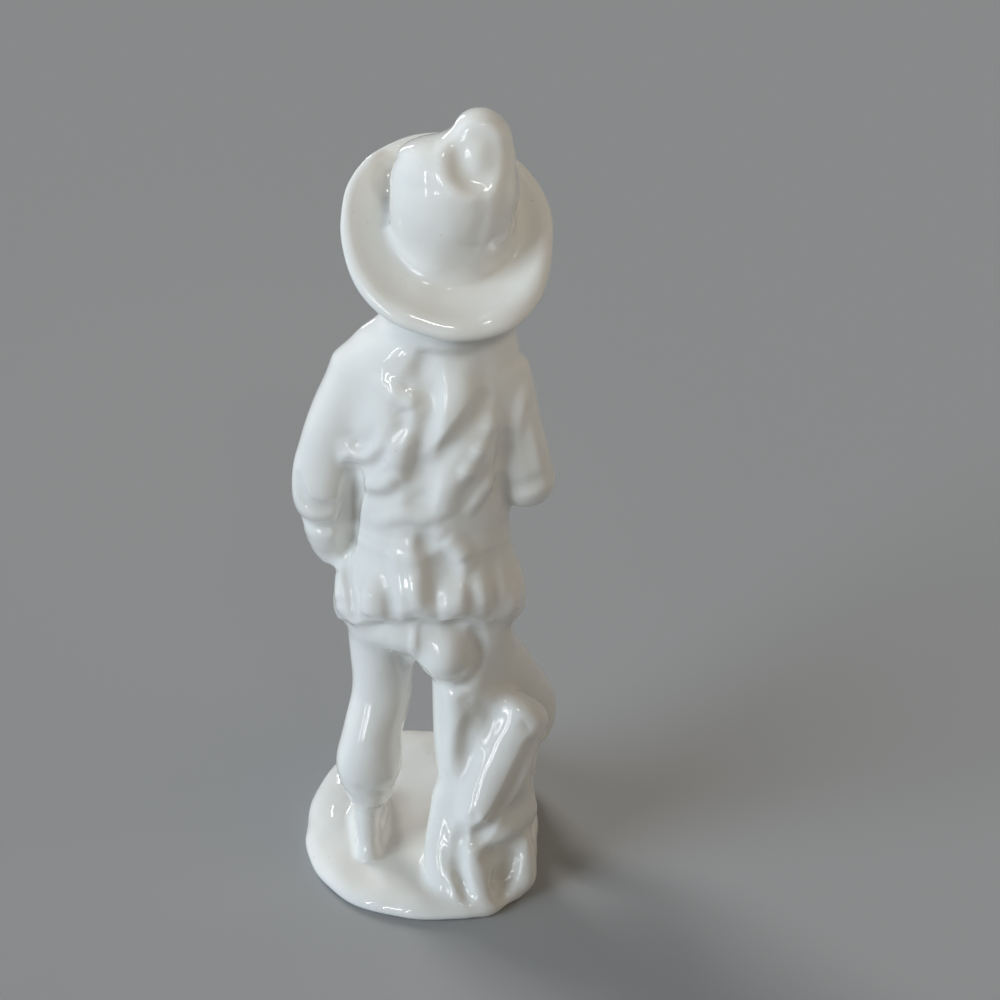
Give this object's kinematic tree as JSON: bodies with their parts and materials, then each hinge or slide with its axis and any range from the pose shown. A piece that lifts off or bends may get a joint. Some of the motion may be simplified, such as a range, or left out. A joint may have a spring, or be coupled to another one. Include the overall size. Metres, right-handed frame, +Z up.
{
  "type": "nativity shepherd figurine",
  "caption": "Standing shepherd in a brimmed hat, vest, tunic and knee breeches, leaning on a forked tree stump, on a rounded mound, in white glazed ceramic, as a nativity scene decoration.",
  "frame": {"origin": "on the floor, under the middle of the figure's bounding box", "axes": "+Z up; the figure faces -Y, and its left hand is at +X"},
  "size_m": [0.0712, 0.0776, 0.2068],
  "materials": {
    "white_glaze": "thick, glossy clear glaze over white earthenware, pooled in the creases"
  },
  "bodies": {
    "root": {"base_mound": "white_glaze", "left_shoe": "white_glaze", "left_stocking": "white_glaze", "left_breeches": "white_glaze", "right_shoe": "white_glaze", "right_stocking": "white_glaze", "right_breeches": "white_glaze", "tree_trunk": "white_glaze", "branch_stub": "white_glaze", "tunic_skirt": "white_glaze", "belt": "white_glaze", "vest": "white_glaze", "collar": "white_glaze", "left_sleeve": "white_glaze", "left_cuff": "white_glaze", "left_hand": "white_glaze", "right_sleeve": "white_glaze", "right_cuff": "white_glaze", "right_hand": "white_glaze", "head": "white_glaze", "hair": "white_glaze", "hat_brim": "white_glaze", "hat_crown": "white_glaze"}
  },
  "joints": []
}
